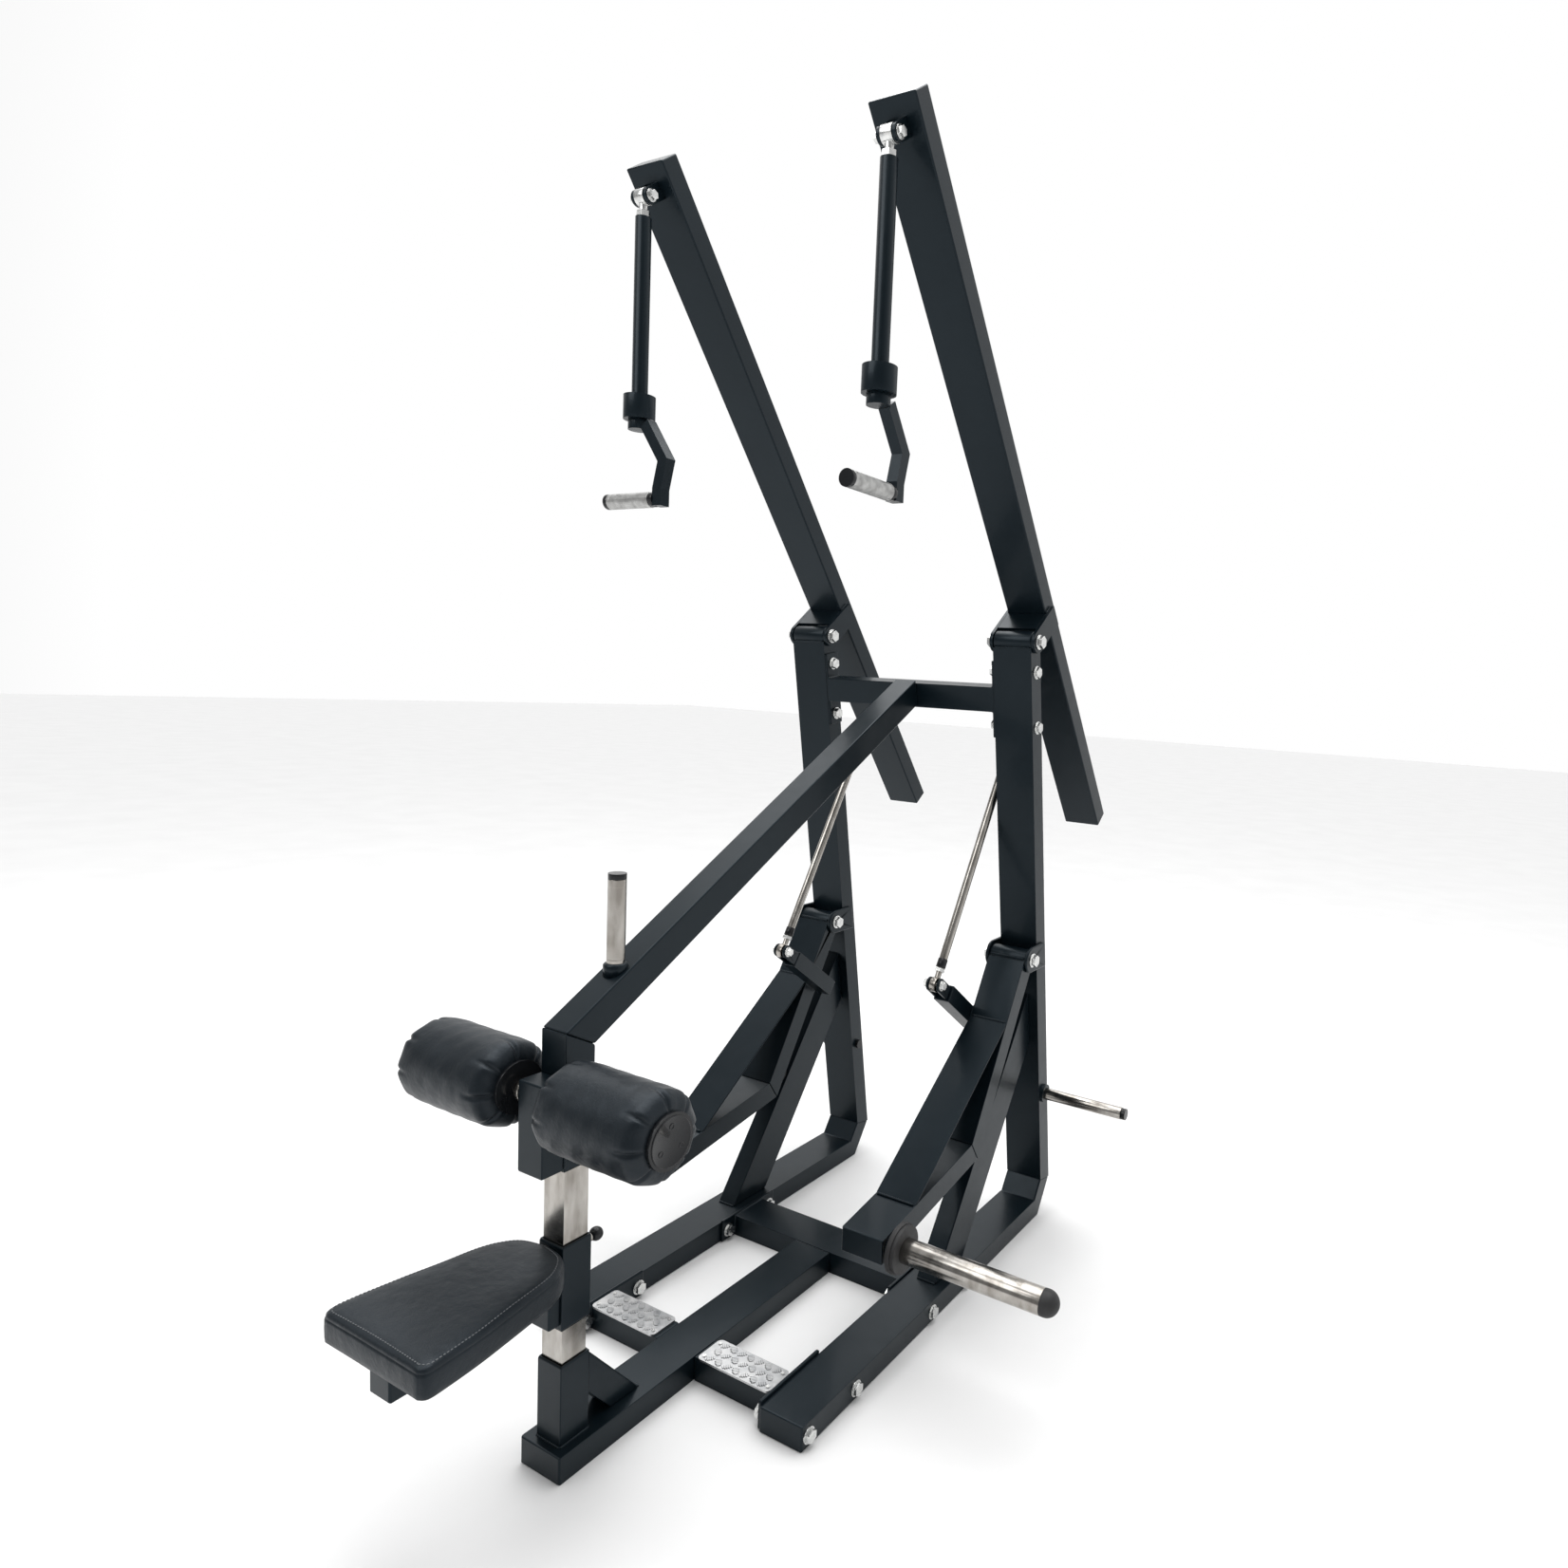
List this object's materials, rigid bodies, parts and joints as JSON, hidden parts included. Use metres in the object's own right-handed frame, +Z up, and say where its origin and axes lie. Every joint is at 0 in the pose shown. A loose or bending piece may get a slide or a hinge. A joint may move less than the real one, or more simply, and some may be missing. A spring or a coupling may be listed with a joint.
{
  "type": "lat pulldown machine",
  "caption": "Plate-loaded lat pulldown with separate left and right levers, swivelling handles, padded seat and knee rollers",
  "frame": {"origin": "on the floor, under the middle of the centre beam's width, at the middle of the base's length", "axes": "+X the user's right, +Y towards the uprights, +Z up"},
  "size_m": [1.436, 1.8562, 2.4293],
  "materials": {
    "frame_paint": "gloss",
    "stainless": "brushed",
    "knurled_steel": "knurled",
    "zinc": "satin",
    "bright_alloy": "chequered",
    "charcoal_leather": "satin",
    "black_plastic": "gloss",
    "black_rubber": "matt"
  },
  "bodies": {
    "frame": {"centre_beam": "frame_paint", "rear_cross_member": "frame_paint", "foot_bar": "frame_paint", "foot_treads": "bright_alloy", "side_beams": "frame_paint", "uprights": "frame_paint", "braces": "frame_paint", "front_socket": "frame_paint", "seat_post": "stainless", "pivot_mounts": "frame_paint", "upper_cross_beam": "frame_paint", "diagonal_beam": "frame_paint", "elbow_post": "frame_paint", "hand_peg": "stainless", "knee_block": "frame_paint", "knee_axle": "stainless", "storage_horns": "stainless", "black_plugs": "black_plastic", "frame_bolts": "zinc", "pivot_bolts": "zinc", "arm_stops": "black_rubber"},
    "seat": {"seat_carriage": "frame_paint", "seat_support": "frame_paint", "seat_pad": "charcoal_leather"},
    "seat_pin": {"pull_pin": "stainless", "pin_knob": "black_plastic"},
    "left_roller": {"left_knee_roller": "charcoal_leather", "left_roller_discs": "black_plastic"},
    "right_roller": {"right_knee_roller": "charcoal_leather", "right_roller_discs": "black_plastic"},
    "left_pull_lever": {"left_lever": "frame_paint", "left_lever_brackets": "frame_paint", "left_lever_bolts": "zinc"},
    "right_pull_lever": {"right_lever": "frame_paint", "right_lever_brackets": "frame_paint", "right_lever_bolts": "zinc"},
    "left_weight_arm": {"left_arm_drop_tube": "frame_paint", "left_arm_lower_tube": "frame_paint", "left_arm_face_plate": "frame_paint", "left_weight_horn": "stainless", "left_horn_rubbers": "black_rubber", "left_rod_bolt": "zinc"},
    "right_weight_arm": {"right_arm_drop_tube": "frame_paint", "right_arm_lower_tube": "frame_paint", "right_arm_face_plate": "frame_paint", "right_weight_horn": "stainless", "right_horn_rubbers": "black_rubber", "right_rod_bolt": "zinc"},
    "left_rod": {"left_connecting_rod": "stainless"},
    "right_rod": {"right_connecting_rod": "stainless"},
    "left_hanger": {"left_hanger_tube": "frame_paint", "left_hanger_rod_end": "zinc"},
    "right_hanger": {"right_hanger_tube": "frame_paint", "right_hanger_rod_end": "zinc"},
    "left_handle": {"left_crank": "frame_paint", "left_grip": "knurled_steel", "left_grip_plugs": "black_plastic"},
    "right_handle": {"right_crank": "frame_paint", "right_grip": "knurled_steel", "right_grip_plugs": "black_plastic"}
  },
  "joints": [
    {"name": "seat_slide", "type": "slide", "parent": "frame", "child": "seat", "axis": [0, 0, 1], "range_m": [-0.06, 0.12]},
    {"name": "seat_pin_pull", "type": "slide", "parent": "seat", "child": "seat_pin", "axis": [0, 1, 0], "range_m": [0, 0.01], "stiffness_N_per_m": 800, "springref_m": -0.004},
    {"name": "left_roller_spin", "type": "hinge", "parent": "frame", "child": "left_roller", "pos_m": [-0.175, -0.643, 0.683], "axis": [1, 0, 0], "continuous": true},
    {"name": "left_lever_pull", "type": "hinge", "parent": "frame", "child": "left_pull_lever", "pos_m": [-0.298, 0.41417, 1.503], "axis": [1, 0, 0], "range_deg": [0, 40]},
    {"name": "left_arm_lift", "type": "hinge", "parent": "frame", "child": "left_weight_arm", "pos_m": [-0.298, 0.49004, 0.73], "axis": [1, 0, 0], "range_deg": [-39.9, 0]},
    {"name": "left_rod_swing", "type": "hinge", "parent": "left_weight_arm", "child": "left_rod", "pos_m": [-0.2255, 0.24504, 0.702], "axis": [1, 0, 0], "range_deg": [0, 39.2]},
    {"name": "left_hanger_swing", "type": "hinge", "parent": "left_pull_lever", "child": "left_hanger", "pos_m": [-0.298, -0.19137, 2.33735], "axis": [1, 0, 0], "range_deg": [-70, 30]},
    {"name": "left_handle_swivel", "type": "hinge", "parent": "left_hanger", "child": "left_handle", "pos_m": [-0.298, -0.19137, 1.89935], "axis": [0, 0, 1], "continuous": true},
    {"name": "right_roller_spin", "type": "hinge", "parent": "frame", "child": "right_roller", "pos_m": [0.175, -0.643, 0.683], "axis": [1, 0, 0], "continuous": true},
    {"name": "right_lever_pull", "type": "hinge", "parent": "frame", "child": "right_pull_lever", "pos_m": [0.298, 0.41417, 1.503], "axis": [1, 0, 0], "range_deg": [0, 40]},
    {"name": "right_arm_lift", "type": "hinge", "parent": "frame", "child": "right_weight_arm", "pos_m": [0.298, 0.49004, 0.73], "axis": [1, 0, 0], "range_deg": [-39.9, 0]},
    {"name": "right_rod_swing", "type": "hinge", "parent": "right_weight_arm", "child": "right_rod", "pos_m": [0.2255, 0.24504, 0.702], "axis": [1, 0, 0], "range_deg": [0, 39.2]},
    {"name": "right_hanger_swing", "type": "hinge", "parent": "right_pull_lever", "child": "right_hanger", "pos_m": [0.298, -0.19137, 2.33735], "axis": [1, 0, 0], "range_deg": [-70, 30]},
    {"name": "right_handle_swivel", "type": "hinge", "parent": "right_hanger", "child": "right_handle", "pos_m": [0.298, -0.19137, 1.89935], "axis": [0, 0, 1], "continuous": true}
  ],
  "couplings": [
    {"joint": "left_arm_lift", "follows": "left_lever_pull", "ratio": -0.997},
    {"joint": "left_rod_swing", "follows": "left_lever_pull", "ratio": 0.978},
    {"joint": "right_arm_lift", "follows": "right_lever_pull", "ratio": -0.997},
    {"joint": "right_rod_swing", "follows": "right_lever_pull", "ratio": 0.978}
  ]
}
